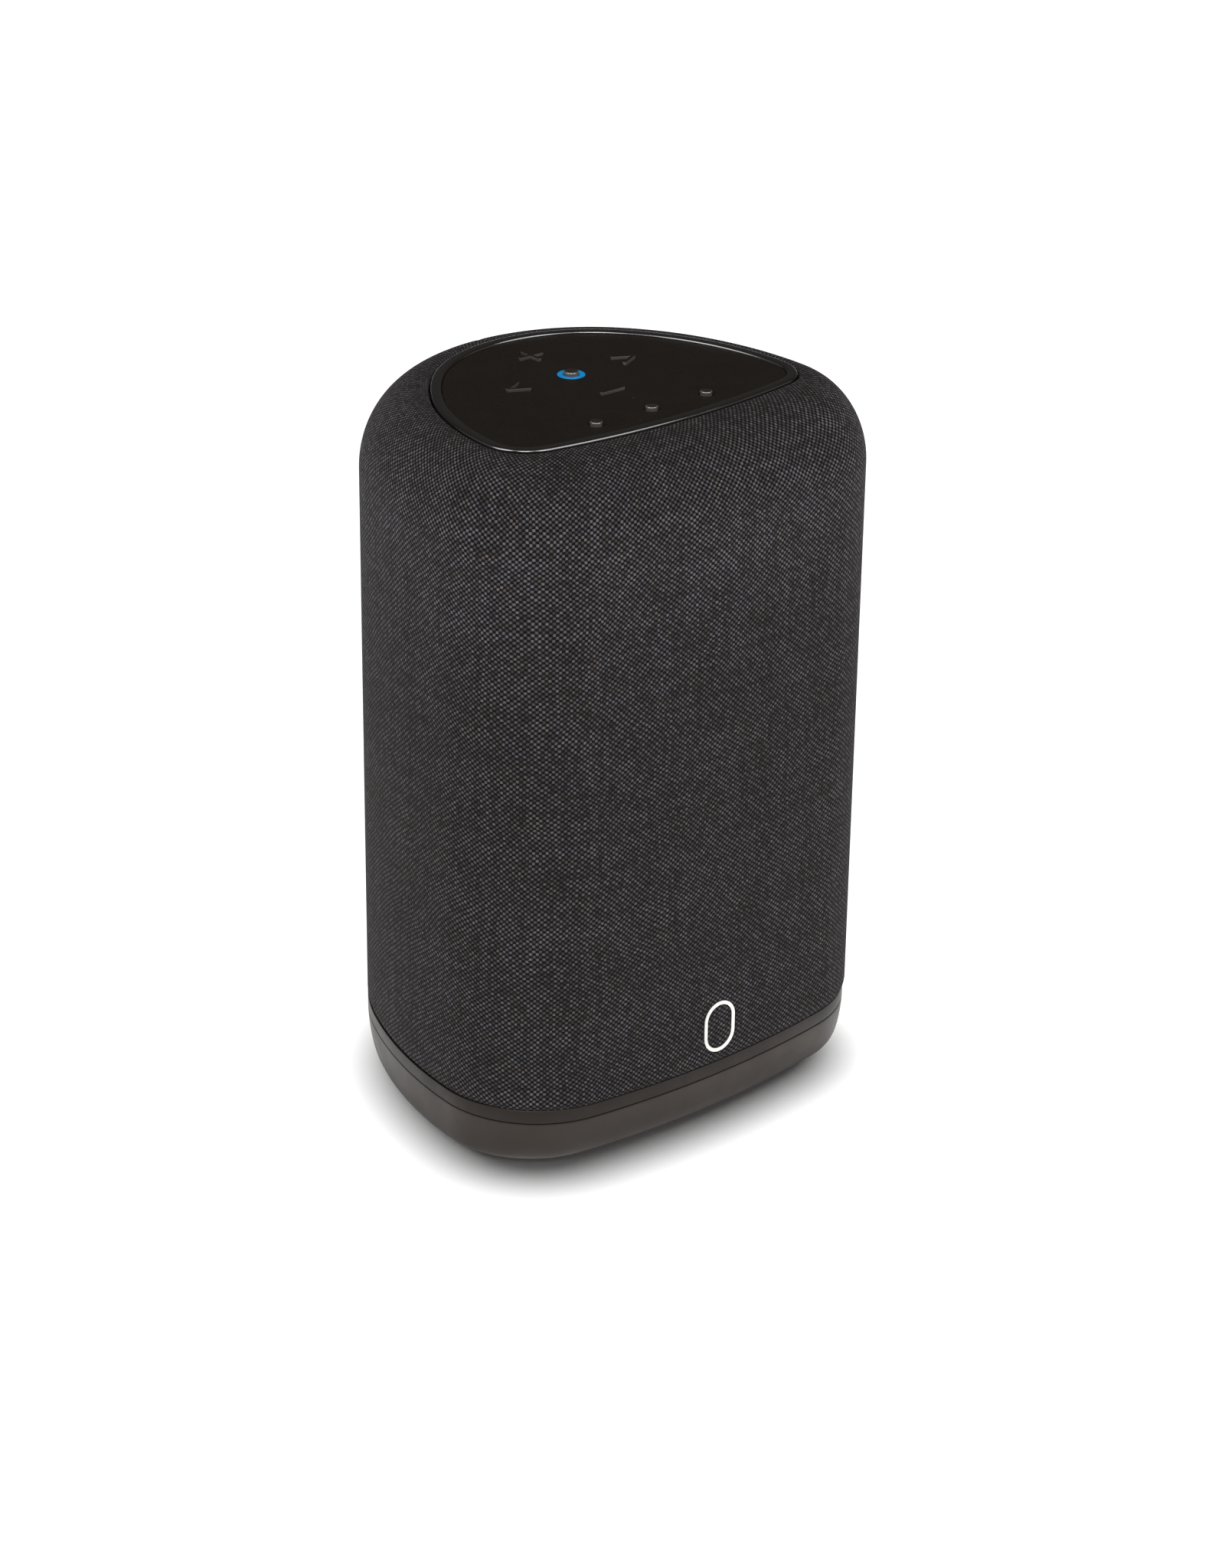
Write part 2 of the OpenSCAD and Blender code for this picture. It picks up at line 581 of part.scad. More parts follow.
// ---- Tweeter ----
module tweeter_plate() color([0.1, 0.1, 0.1]) driver(tweeter_z)
    turned([[7.2, 0], [15.5, 0], [15.5, 1.6], [15.1, 2], [9, 1.2], [7.2, 0.6]]);
module tweeter_magnet() color([0.3, 0.3, 0.32]) driver(tweeter_z) difference() {
    disc(10.2, -13, -0.05);
    tube(6.95, 5.75, -5, 1);
    disc(5.75, -1.2, 1);
}
module tweeter_dome() color([0.35, 0.35, 0.37]) driver(tweeter_z) {
    difference() {
        translate([0, 0, -4]) sphere(7.6, $fn = 96);
        translate([0, 0, -4]) sphere(7.3, $fn = 96);
        translate([-10, -10, -20]) cube([20, 20, 20]);
    }
    tube(6.5, 6.15, -3.5, 0.1);
}

// ---- Electronics ----
module main_board() color([0.05, 0.3, 0.15]) {
    translate([-35, 30, 68]) cube([70, 1.6, 84]);
    translate([-7, 31.5, 139]) cube([14, 1.65, 5]);
}
module processor_shield() color([0.75, 0.75, 0.76]) {
    translate([-14, 31.65, 84]) cube([28, 3, 28]);
    translate([-26, 31.65, 124]) cube([16, 2.6, 20]);
}
module amplifier_heatsink() color([0.65, 0.65, 0.68]) {
    translate([16, 31.65, 76]) cube([16, 2, 44]);
    for (i = [0:4]) translate([16 + i * 3.6, 33.6, 76]) cube([1.6, 5, 44]);
}
module antennas() color([0.85, 0.7, 0.3]) for (s = [-1, 1])
    translate([s * 27 - 9, 29, 154]) cube([18, 0.8, 12]);
module power_supply_board() color([0.35, 0.25, 0.1]) difference() {
    plate(1, 13.2, hem_z + 0.1, hem_z + 1.7);
    translate([-25, 34.5, 0]) cube([50, 20, 40]);
}
module transformer() color([0.75, 0.65, 0.2]) translate([-34, -22, hem_z + 1.75]) {
    cube([26, 22, 4]);
    translate([2, 3, 3.9]) cube([22, 16, 9]);
    translate([0, 0, 12.8]) cube([26, 22, 3]);
}
module capacitors() color([0.1, 0.15, 0.35]) for (i = [0:2])
    translate([8 + i * 13.5, -14, 0]) disc(6, hem_z + 1.75, hem_z + 17);

// A ribbon in the X direction, following points of depth and height
module ribbon_cable() color([0.85, 0.85, 0.82]) {
    route = [[27, board_top - board_t - 0.1], [27, 167], [28, 162], [32, 156], [33.4, 152],
        [33.4, 140]];
    n = len(route);
    translate([-6, 0, 0]) rotate([90, 0, 90]) linear_extrude(12) polygon(concat(
        [for (p = route) p - [0.2, 0]], [for (i = [n - 1:-1:0]) route[i] + [0.2, 0]]));
}
// A round wire of radius r through points in a plane of constant X
module wire(points, r) {
    n = len(points);
    sides = 8;
    rings = [for (i = [0:n - 1])
        let (t = points[min(i + 1, n - 1)] - points[max(i - 1, 0)], u = [0, -t[2], t[1]] / norm(t))
        for (k = [0:sides - 1]) points[i] + r * (cos(k * 45) * [1, 0, 0] + sin(k * 45) * u)];
    polyhedron(rings, concat([[for (k = [0:sides - 1]) k]],
        [[for (k = [sides - 1:-1:0]) (n - 1) * sides + k]],
        [for (i = [0:n - 2]) for (k = [0:sides - 1])
            let (a = i * sides + k, b = i * sides + (k + 1) % sides)
            each [[a, a + sides, b + sides], [a, b + sides, b]]]));
}
// They pass over the magnet and end on the back of the basket
module speaker_wires() color([0.7, 0.1, 0.1]) for (x = [-1.5, 1.5])
    wire([[x, 20.8, 128], [x, 14, 127], [x, 4, 119], [x, -2, 112], [x, -8, 109.2],
        [x, -14, 108.9], [x, -19.95, 108.9]], 0.6);

fabric_sleeve();
grille_frame();
shoulder_housing();
top_rim();
control_panel();
play_button();
volume_up_button();
volume_down_button();
previous_button();
next_button();
preset_button(-1);  // preset_button_1
preset_button(0);  // preset_button_2
preset_button(1);  // preset_button_3
light_ring();
panel_carrier();
button_board();
key_switches();
ring_leds();
panel_screws();
front_badge();
base_band();
base_shell();
bottom_plate();
foot_ring();
base_screws();
status_lens();
status_led();
rear_plate();
power_inlet();
inlet_pins();
ethernet_jack();
usb_socket();
aux_jack();
setup_button();
io_board();
setup_switch();
front_baffle();
cabinet_tub();
cabinet_gasket();
cabinet_screws();
woofer_basket();
woofer_magnet();
woofer_yoke();
woofer_cone();
woofer_dust_cap();
woofer_coil();
woofer_surround();
woofer_spider();
tweeter_plate();
tweeter_magnet();
tweeter_dome();
main_board();
processor_shield();
amplifier_heatsink();
antennas();
power_supply_board();
transformer();
capacitors();
ribbon_cable();
speaker_wires();
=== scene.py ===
import json
import math

import bmesh
import bpy
import numpy as np
from mathutils import Matrix, Vector

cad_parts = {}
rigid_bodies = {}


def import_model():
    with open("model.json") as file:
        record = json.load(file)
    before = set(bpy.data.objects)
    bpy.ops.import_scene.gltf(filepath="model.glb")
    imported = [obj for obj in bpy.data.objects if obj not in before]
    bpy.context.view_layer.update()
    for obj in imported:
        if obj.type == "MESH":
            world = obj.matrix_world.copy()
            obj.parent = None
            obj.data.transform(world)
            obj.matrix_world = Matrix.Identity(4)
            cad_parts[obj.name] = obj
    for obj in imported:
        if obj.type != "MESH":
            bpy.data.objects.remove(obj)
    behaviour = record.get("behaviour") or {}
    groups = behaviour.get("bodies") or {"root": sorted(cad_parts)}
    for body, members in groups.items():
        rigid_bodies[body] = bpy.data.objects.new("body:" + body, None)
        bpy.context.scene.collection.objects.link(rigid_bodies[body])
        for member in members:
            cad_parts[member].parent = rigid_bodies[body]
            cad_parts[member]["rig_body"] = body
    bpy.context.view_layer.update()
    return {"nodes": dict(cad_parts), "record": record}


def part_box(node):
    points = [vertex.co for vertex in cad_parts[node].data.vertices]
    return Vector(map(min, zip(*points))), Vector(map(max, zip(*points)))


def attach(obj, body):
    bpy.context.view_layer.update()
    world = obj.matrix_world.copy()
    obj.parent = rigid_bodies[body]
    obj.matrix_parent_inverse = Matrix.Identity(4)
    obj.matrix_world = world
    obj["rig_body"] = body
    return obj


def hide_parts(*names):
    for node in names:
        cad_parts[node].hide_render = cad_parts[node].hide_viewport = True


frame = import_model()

# Lengths in this script are in millimetres until a mesh is made, which MM turns into metres.
MM = 0.001
RECORD = frame["record"]
SLOT_OF = {s["node"]: s["material_slot"] for s in RECORD["subparts"]}
COLOUR_OF = {m["slot"]: tuple(m["base_color"][:3]) for m in RECORD["materials"]}
CLASS_OF = {m["slot"]: m["class"] for m in RECORD["materials"]}


def box_mm(node):
    """Lowest and highest corner of a CAD node, in millimetres."""
    low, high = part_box(node)
    return low / MM, high / MM


# ---- Driving sizes, read from the frame where it has them ----
SLEEVE_LOW, SLEEVE_HIGH = box_mm("fabric_sleeve")
RIM_LOW, RIM_HIGH = box_mm("top_rim")
BAND_LOW, BAND_HIGH = box_mm("base_band")
SHELL_LOW, SHELL_HIGH = box_mm("base_shell")
PLATE_LOW, PLATE_HIGH = box_mm("rear_plate")
RIM_TOP = RIM_HIGH.z
HEM_Z = SLEEVE_LOW.z
SEAM_Z = SHELL_HIGH.z
FOOT_GAP = SHELL_LOW.z

# ---- Sizes of the cloth, ring and base, as in the CAD model ----
CLOTH_TOP = RIM_TOP - 0.5
CLOTH_T = 0.9
SHOULDER_H = 21.1
SHOULDER_Z = CLOTH_TOP - SHOULDER_H
RIM_FACE = 2.8
RIM_ROUND_OUT = 0.75
RIM_ROUND_IN = 0.7
BASE_INSET = 0.25
BASE_SHIFT = 0.35
TOE_INSET = 4.2
TOE_WIDEN = 0.033
TOE_POWER = 1.4
PLATE_EDGE = 5.3
FLOOR_T = 3.4

# ---- Points round the outline, and the pitch of the threads ----
AROUND = 480
THREAD_W = 0.8
THREAD_H = 0.68


# ---- Plan outlines: four tangent arcs a side, as in the CAD model ----
def heading(v):
    """Direction of a plan vector in degrees, 0 at the front and 90 at the +X side."""
    return math.degrees(math.atan2(v[0], -v[1]))


def meet(a, ra, b, rb):
    """Where two circles cross, on the right-hand side of the line from a to b."""
    d = math.dist(a, b)
    u = ((b[0] - a[0]) / d, (b[1] - a[1]) / d)
    s = (ra * ra - rb * rb + d * d) / (2 * d)
    h = math.sqrt(ra * ra - s * s)
    return (a[0] + s * u[0] + h * u[1], a[1] + s * u[1] - h * u[0])


def chain(low, high, front_r, corner_r, side_r, back_r):
    """Arcs of the right half, each (centre x, centre y, radius, normal angle where it ends)."""
    width = high.x - low.x
    front = (0, low.y + front_r)
    back = (0, high.y - back_r)
    side_x = width / 2 - side_r
    side = (side_x, back[1] - math.sqrt((side_r - back_r) ** 2 - side_x**2))
    corner = meet(side, side_r - corner_r, front, front_r - corner_r)
    ends = [
        heading((corner[0] - front[0], corner[1] - front[1])),
        heading((corner[0] - side[0], corner[1] - side[1])),
        heading((back[0] - side[0], back[1] - side[1])),
        180.0,
    ]
    centres = [front, corner, side, back]
    radii = [front_r, corner_r, side_r, back_r]
    return [(c[0], c[1], r, e) for c, r, e in zip(centres, radii, ends)]


BODY = chain(SLEEVE_LOW, SLEEVE_HIGH, 245.3, 28.9, 114.2, 58.3)
RIM = chain(RIM_LOW, RIM_HIGH, 206.3, 11.5, 65.3, 40.3)


def outline(arcs, angles, inset):
    """Points of an outline at these normal angles, moved in by inset."""
    folded = np.where(angles > 180, 360 - angles, angles)
    side = np.where(angles > 180, -1.0, 1.0)
    index = np.clip(np.searchsorted([a[3] for a in arcs], folded), 0, 3)
    table = np.array(arcs)[index]
    turn = np.radians(folded)
    x = table[:, 0] + (table[:, 2] - inset) * np.sin(turn)
    y = table[:, 1] - (table[:, 2] - inset) * np.cos(turn)
    return np.stack([side * x, y], axis=1)


# Normal angles all the way round, from the middle of the back.
TURN = (180 + np.linspace(0, 360, 14401)) % 360


def ring(blend, inset, z, shift=0.0, widen=0.0, count=AROUND):
    """Evenly spaced points from the middle of the back all the way round.
    Blend 1 is the body's outline and 0 the trim ring's. The ring may be shifted back and
    widened in X by a fraction."""
    plan = blend * outline(BODY, TURN, inset) + (1 - blend) * outline(RIM, TURN, inset)
    along = np.concatenate([[0], np.cumsum(np.linalg.norm(np.diff(plan, axis=0), axis=1))])
    at = along[-1] * np.arange(count) / count
    x, y = np.interp(at, along, plan[:, 0]), np.interp(at, along, plan[:, 1])
    return np.column_stack([x * (1 + widen), y + shift, np.full(count, z)])


def girth(points):
    """Length of a closed ring of points."""
    return np.linalg.norm(points - np.roll(points, 1, axis=0), axis=1).sum()


GIRTH = girth(ring(1, 0, 0))


def shoulder(depth, angles):
    """Rings of the rolled shoulder, depth inside the cloth's face."""
    out = []
    for u in angles:
        c, s = math.cos(math.radians(u)), math.sin(math.radians(u))
        out.append((c, depth * c, SHOULDER_Z + (SHOULDER_H - depth) * s))
    return out


# ---- Mesh helpers ----
def new_piece(name, mesh):
    piece = bpy.data.objects.new(name, mesh)
    bpy.context.scene.collection.objects.link(piece)
    return piece


def shade(mesh, angle=35):
    mesh.shade_smooth()
    mesh.set_sharp_from_angle(angle=math.radians(angle))


def loop_loft(name, grid, columns=None, rows=None):
    """A closed skin through rings of points, which run round and join up again end to start.
    columns and rows give each point's place in the weave, for a UV map of threads."""
    m, n = grid.shape[:2]
    faces = []
    uvs = []
    for i in range(m):
        k = (i + 1) % m
        for j in range(n):
            a = (j + 1) % n
            faces.append((i * n + j, i * n + a, k * n + a, k * n + j))
            if columns is not None:
                u0, u1 = columns[j], columns[j + 1]
                uvs += [u0, rows[i, j], u1, rows[i, a], u1, rows[k, a], u0, rows[k, j]]
    mesh = bpy.data.meshes.new(name)
    mesh.from_pydata((grid.reshape(-1, 3) * MM).tolist(), [], faces)
    if columns is not None:
        layer = mesh.uv_layers.new(name="threads")
        layer.data.foreach_set("uv", uvs)
    mesh.update()
    shade(mesh)
    return new_piece(name, mesh)


def rings_grid(rings):
    """Points of a list of rings, each given as ring()'s arguments."""
    return np.stack([ring(*r) for r in rings])


def freeze(piece):
    """Applies the piece's modifiers to its mesh."""
    graph = bpy.context.evaluated_depsgraph_get()
    mesh = bpy.data.meshes.new_from_object(piece.evaluated_get(graph))
    piece.modifiers.clear()
    piece.data = mesh
    return piece


def place(piece, node):
    """The piece stands for a CAD node, on its body; the node itself is hidden."""
    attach(piece, frame["nodes"][node]["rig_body"])
    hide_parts(node)
    return piece


def refined(node, bevel, segments=3, angle=40):
    """A copy of a CAD node's shape with its edges rounded, in place of the node."""
    mesh = frame["nodes"][node].data.copy()
    mesh.materials.clear()
    bm = bmesh.new()
    bm.from_mesh(mesh)
    bmesh.ops.remove_doubles(bm, verts=bm.verts, dist=1e-6)
    bmesh.ops.dissolve_limit(bm, angle_limit=math.radians(1), verts=bm.verts, edges=bm.edges)
    bm.to_mesh(mesh)
    bm.free()
    piece = new_piece(node + "_piece", mesh)
    rounding = piece.modifiers.new("rounding", "BEVEL")
    rounding.width = bevel * MM
    rounding.segments = segments
    rounding.limit_method = "ANGLE"
    rounding.angle_limit = math.radians(angle)
    rounding.harden_normals = True
    shade(mesh, angle + 5)
    freeze(piece)
    return place(piece, node)


# ---- Shader helpers ----
class Shader:
    """A material and its node tree, with short ways to add and join nodes."""

    def __init__(self, name):
        self.material = bpy.data.materials.new(name)
        self.material.use_nodes = True
        self.tree = self.material.node_tree
        self.tree.nodes.clear()
        self.surface = self.node("ShaderNodeBsdfPrincipled")
        output = self.node("ShaderNodeOutputMaterial")
        self.tree.links.new(self.surface.outputs["BSDF"], output.inputs["Surface"])

    def node(self, kind, settings=None, **inputs):
        made = self.tree.nodes.new(kind)
        for key, value in (settings or {}).items():
            setattr(made, key, value)
        for key, value in inputs.items():
            self.feed(made.inputs[key.replace("_", " ")], value)
        return made

    def feed(self, socket, value):
        if isinstance(value, bpy.types.NodeSocket):
            self.tree.links.new(value, socket)
        else:
            socket.default_value = value

    def maths(self, operation, *values, clamp=False):
        made = self.node("ShaderNodeMath", {"operation": operation, "use_clamp": clamp})
        for socket, value in zip(made.inputs, values):
            self.feed(socket, value)
        return made.outputs[0]

    def ramp(self, value, low, high, to_low=0.0, to_high=1.0):
        made = self.node("ShaderNodeMapRange", {"interpolation_type": "SMOOTHSTEP"})
        for key, number in zip(
            ("Value", "From Min", "From Max", "To Min", "To Max"),
            (value, low, high, to_low, to_high),
        ):
            self.feed(made.inputs[key], number)
        return made.outputs["Result"]

    def noise(self, vector, scale, detail=2.0, roughness=0.5):
        return self.node(
            "ShaderNodeTexNoise", Vector=vector, Scale=scale, Detail=detail, Roughness=roughness
        )

    def blend(self, factor, first, second):
        made = self.node("ShaderNodeMix", {"data_type": "RGBA"})
        self.feed(made.inputs[0], factor)
        self.feed(made.inputs[6], first)
        self.feed(made.inputs[7], second)
        return made.outputs[2]

    def nudge(self, vector, push, amount):
        """The vector plus push times amount."""
        made = self.node("ShaderNodeVectorMath", {"operation": "MULTIPLY_ADD"})
        for socket, value in zip(made.inputs, (push, amount, vector)):
            self.feed(socket, value)
        return made.outputs[0]

    def bump(self, height, distance, strength=1.0):
        made = self.node("ShaderNodeBump", Height=height, Distance=distance, Strength=strength)
        self.feed(self.surface.inputs["Normal"], made.outputs["Normal"])

    def position(self):
        return self.node("ShaderNodeTexCoord").outputs["Object"]


def scaled(colour, factor):
    """A lighter or darker colour, with its alpha."""
    return tuple(min(1.0, c * factor) for c in colour) + (1.0,)


def moulded(name, colour, roughness, grain=0.00003, grain_scale=2500, specular=0.5, spread=0.25):
    """Moulded plastic or rubber: uneven tone, a fine grain, and a roughness that wanders."""
    s = Shader(name)
    where = s.position()
    cloud = s.noise(where, 45, 4, 0.6).outputs["Fac"]
    s.feed(
        s.surface.inputs["Base Color"],
        s.blend(s.ramp(cloud, 0.3, 0.7), scaled(colour, 1 - spread), scaled(colour, 1 + spread)),
    )
    smear = s.noise(where, 110, 3, 0.6).outputs["Fac"]
    wander = s.ramp(smear, 0.25, 0.75, roughness - 0.06, roughness + 0.06)
    s.feed(s.surface.inputs["Roughness"], wander)
    s.surface.inputs["Specular IOR Level"].default_value = specular
    s.bump(s.noise(where, grain_scale, 2).outputs["Fac"], grain)
    return s


def metal(name, colour, roughness, streak=(900, 900, 60)):
    """Plated or drawn metal with fine streaks and a mottled roughness."""
    s = Shader(name)
    stretch = s.node("ShaderNodeMapping", Vector=s.position(), Scale=streak)
    lines = s.noise(stretch.outputs["Vector"], 1.0, 3, 0.6).outputs["Fac"]
    s.feed(
        s.surface.inputs["Base Color"],
        s.blend(s.ramp(lines, 0.3, 0.7), scaled(colour, 0.82), scaled(colour, 1.1)),
    )
    wander = s.ramp(lines, 0.2, 0.8, roughness - 0.06, roughness + 0.08)
    s.feed(s.surface.inputs["Roughness"], wander)
    s.surface.inputs["Metallic"].default_value = 1.0
    s.bump(lines, 0.00001)
    return s


# ---- Materials ----
def weave_material():
    """Plain weave: pale warp dots over near black weft, one thread to each whole UV number.
    Threads drift and jitter, and single stitches and whole threads differ in brightness.
    Light and shade are painted in: a painted highlight where the shoulder begins to roll
    over, and painted shade that darkens the cloth from there towards the trim ring."""
    s = Shader("woven_speaker_cloth")
    uv = s.node("ShaderNodeUVMap", {"uv_map": "threads"}).outputs["UV"]
    drift = s.noise(uv, 0.035, 1).outputs["Color"]
    jitter = s.noise(uv, 0.33, 1).outputs["Color"]
    place_in_weave = s.nudge(s.nudge(uv, drift, (3.6, 2.4, 0.0)), jitter, (0.6, 0.4, 0.0))
    split = s.node("ShaderNodeSeparateXYZ", Vector=place_in_weave)
    across = s.maths("SINE", s.maths("MULTIPLY", split.outputs["X"], math.pi))
    along = s.maths("SINE", s.maths("MULTIPLY", split.outputs["Y"], math.pi))
    over = s.maths("MULTIPLY", across, along)
    wide = s.maths("POWER", s.maths("ABSOLUTE", across), 1.1)
    tall = s.maths("POWER", s.maths("ABSOLUTE", along), 0.45)
    thread = s.maths("MULTIPLY", s.maths("SIGN", over), s.maths("MULTIPLY", wide, tall))

    column = s.maths("FLOOR", split.outputs["X"])
    row = s.maths("FLOOR", split.outputs["Y"])
    cell = s.node("ShaderNodeCombineXYZ", X=column, Y=row)
    each = s.node("ShaderNodeTexWhiteNoise", {"noise_dimensions": "2D"}, Vector=cell.outputs[0])
    streak_u = s.node("ShaderNodeTexWhiteNoise", {"noise_dimensions": "1D"}, W=column)
    streak_v = s.node("ShaderNodeTexWhiteNoise", {"noise_dimensions": "1D"}, W=row)
    streaks = s.maths(
        "ADD",
        s.maths("MULTIPLY", streak_u.outputs["Value"], 0.14),
        s.maths("MULTIPLY", streak_v.outputs["Value"], 0.14),
    )
    stitch = s.maths("MULTIPLY_ADD", s.maths("POWER", each.outputs["Value"], 1.4), 0.55, 0.16)
    cloud = s.ramp(s.noise(uv, 0.05, 3, 0.6).outputs["Fac"], 0.3, 0.7, 0.87, 1.12)
    height = s.node("ShaderNodeSeparateXYZ", Vector=uv).outputs["Y"]
    # Painted light and shade: the yarn is painted brighter up to where the shoulder begins to roll
    # over, then painted darker towards the trim ring.
    bend_low, bend_mid, bend_high = ((SHOULDER_Z - HEM_Z + d) / THREAD_H for d in (-45, 6, 34))
    rise = s.ramp(height, bend_low, bend_mid, 0.93, 1.36)
    painted_rim_shade = s.ramp(height, bend_mid, bend_high, 1.0, 0.55)
    tone = s.maths("MULTIPLY", cloud, s.maths("MULTIPLY", rise, painted_rim_shade))
    glow = s.maths("MULTIPLY", s.maths("ADD", stitch, streaks), tone)
    dot = s.ramp(thread, -0.3, 0.85)
    light = s.maths("MULTIPLY", dot, glow, clamp=True)
    tint = s.node("ShaderNodeTexWhiteNoise", {"noise_dimensions": "3D"}, Vector=cell.outputs[0])
    hue = tint.outputs["Value"]
    cool_yarn, warm_yarn = (0.128, 0.125, 0.14, 1), (0.132, 0.116, 0.107, 1)
    cool_ground, warm_ground = (0.0056, 0.0047, 0.0045, 1), (0.0095, 0.0071, 0.0058, 1)
    yarn = s.blend(s.ramp(hue, 0.7, 1.1), cool_yarn, warm_yarn)
    ground = s.blend(s.ramp(hue, 0.0, 1.0), cool_ground, warm_ground)
    s.feed(s.surface.inputs["Base Color"], s.blend(light, ground, yarn))
    s.surface.inputs["Roughness"].default_value = 0.88
    s.surface.inputs["Specular IOR Level"].default_value = 0.06
    s.surface.inputs["Sheen Weight"].default_value = 0.03
    s.surface.inputs["Sheen Roughness"].default_value = 0.45
    s.surface.inputs["Sheen Tint"].default_value = (1.0, 0.94, 0.9, 1)
    lift = s.maths("MAXIMUM", over, s.maths("MULTIPLY", over, -0.45))
    s.bump(lift, 0.00022, 0.8)
    return s.material


def panel_material():
    """Soft touch key panel: near black and warm, with a fine grain and a few specks of dust."""
    s = moulded("soft_touch_panel", (0.0044, 0.0028, 0.0016), 0.5, 0.000012, 5200, 0.25, 0.06)
    base = s.surface.inputs["Base Color"].links[0].from_socket
    grain = s.noise(s.position(), 2600, 2, 0.7).outputs["Fac"]
    base = s.blend(s.ramp(grain, 0.35, 0.7, 0.0, 0.5), base, (0.0165, 0.0122, 0.0088, 1))
    specks = s.node("ShaderNodeTexVoronoi", Vector=s.position(), Scale=420)
    pick = s.node(
        "ShaderNodeTexWhiteNoise", {"noise_dimensions": "3D"}, Vector=specks.outputs["Position"]
    )
    rare = s.maths("GREATER_THAN", pick.outputs["Value"], 0.955)
    near = s.maths("LESS_THAN", specks.outputs["Distance"], 0.06)
    s.feed(
        s.surface.inputs["Base Color"],
        s.blend(s.maths("MULTIPLY", rare, near), base, (0.09, 0.085, 0.08, 1)),
    )
    return s.material


def light_material():
    """Lit light guide: an even blue, a little brighter in random patches."""
    s = Shader("lit_blue_guide")
    cloud = s.noise(s.position(), 900, 2).outputs["Fac"]
    colour = s.blend(s.ramp(cloud, 0.3, 0.7), (0.0, 0.17, 0.4, 1), (0.0, 0.2, 0.46, 1))
    s.feed(s.surface.inputs["Base Color"], colour)
    s.feed(s.surface.inputs["Emission Color"], colour)
    s.surface.inputs["Emission Strength"].default_value = 0.18
    s.surface.inputs["Roughness"].default_value = 0.4
    return s.material


# How each class of material in the record is made; the pieces in plain view have their own below.
RECIPES = {
    "matte_plastic": lambda n, c: moulded(n, c, 0.5).material,
    "gloss_plastic": lambda n, c: moulded(n, c, 0.3, 0.00001).material,
    "rubber": lambda n, c: moulded(n, c, 0.7, 0.00005, 1800).material,
    "painted_metal": lambda n, c: moulded(n, c, 0.45, 0.00004, 1500).material,
    "cast_iron": lambda n, c: moulded(n, c, 0.6, 0.00006, 1400).material,
    "fabric": lambda n, c: moulded(n, c, 0.85, 0.0001, 900).material,
    "brushed_steel": lambda n, c: metal(n, c, 0.34).material,
    "aluminium": lambda n, c: metal(n, c, 0.4).material,
    "chrome": lambda n, c: metal(n, c, 0.14).material,
    "brass": lambda n, c: metal(n, c, 0.3).material,
}
MATERIALS = {slot: RECIPES[CLASS_OF[slot]](slot, COLOUR_OF[slot]) for slot in COLOUR_OF}
MATERIALS["fabric"] = weave_material()
MATERIALS["panel"] = panel_material()
MATERIALS["light_guide"] = light_material()
MATERIALS["rim"] = moulded(
    "trim_gloss", (0.005, 0.0042, 0.0036), 0.15, 0.000002, 4000, 0.8, 0.1
).material
# Key walls are painted in a lighter colour than their tops, as painted light; the tops get the
# panel's material as painted shade.
MATERIALS["keys"] = moulded(
    "key_satin", (0.085, 0.082, 0.078), 0.36, 0.00001, 2600, 0.5, 0.15
).material
KEY_GLOSS = moulded(
    "key_gloss", (0.05, 0.047, 0.045), 0.24, 0.000004, 2600, 1.0, 0.1
).material
SKIRT = moulded("skirt_satin", (0.0165, 0.0125, 0.0102), 0.4, 0.00001, 2600, 0.34, 0.08)
COLLAR = moulded("collar_satin", (0.009, 0.0068, 0.0055), 0.42, 0.00001, 2600, 0.2, 0.08)
for satin in (SKIRT, COLLAR):
    satin.surface.inputs["Specular Tint"].default_value = (1.0, 0.86, 0.78, 1)
GOLD = metal("gold_contacts", (0.83, 0.6, 0.2), 0.22).material
INSERT = moulded("pale_insert", (0.55, 0.55, 0.53), 0.45).material
LAMP = moulded("green_lamp", (0.05, 0.4, 0.1), 0.3).material


def paint(piece, material):
    piece.data.materials.clear()
    piece.data.materials.append(material)
    return piece


# ---- Fabric sleeve ----
PLATE_CORNER = 4
CUTTER_Y = (30, 70)


def cut_window(piece, clearance):
    """Opens the sleeve round the connector plate."""
    low, high = PLATE_LOW, PLATE_HIGH
    width, height = high.x - low.x + 2 * clearance, high.z - low.z + 2 * clearance
    middle, corner = (low.z + high.z) / 2, PLATE_CORNER + clearance
    steps = 8
    points = []
    for quarter, (sx, sz) in enumerate(((1, 1), (-1, 1), (-1, -1), (1, -1))):
        for step in range(steps + 1):
            turn = math.radians((quarter + step / steps) * 90)
            x = sx * (width / 2 - corner) + corner * math.cos(turn)
            z = middle + sz * (height / 2 - corner) + corner * math.sin(turn)
            points.append((x, z))
    bm = bmesh.new()
    inner, outer = (
        [bm.verts.new((x * MM, y * MM, z * MM)) for x, z in points] for y in CUTTER_Y
    )
    count = len(points)
    for k in range(count):
        bm.faces.new((inner[k], inner[(k + 1) % count], outer[(k + 1) % count], outer[k]))
    bm.faces.new(inner[::-1])
    bm.faces.new(outer)
    bmesh.ops.recalc_face_normals(bm, faces=bm.faces)
    mesh = bpy.data.meshes.new("window_cutter")
    bm.to_mesh(mesh)
    bm.free()
    cutter = new_piece("window_cutter", mesh)
    cut = piece.modifiers.new("window", "BOOLEAN")
    cut.object = cutter
    cut.operation = "DIFFERENCE"
    cut.solver = "EXACT"
    freeze(piece)
    bpy.data.objects.remove(cutter)


SEAM_DEPTH = 0.45
SEAM_WIDTH = 0.9


def seam_groove(grid, rows_from, rows_to):
    """Pulls the cloth in along the seam up the middle of the back."""
    plan = grid[rows_from:rows_to]
    pull = SEAM_DEPTH * np.exp(-((plan[..., 0] / SEAM_WIDTH) ** 2)) * (plan[..., 1] > 0)
    plan[..., 1] -= pull


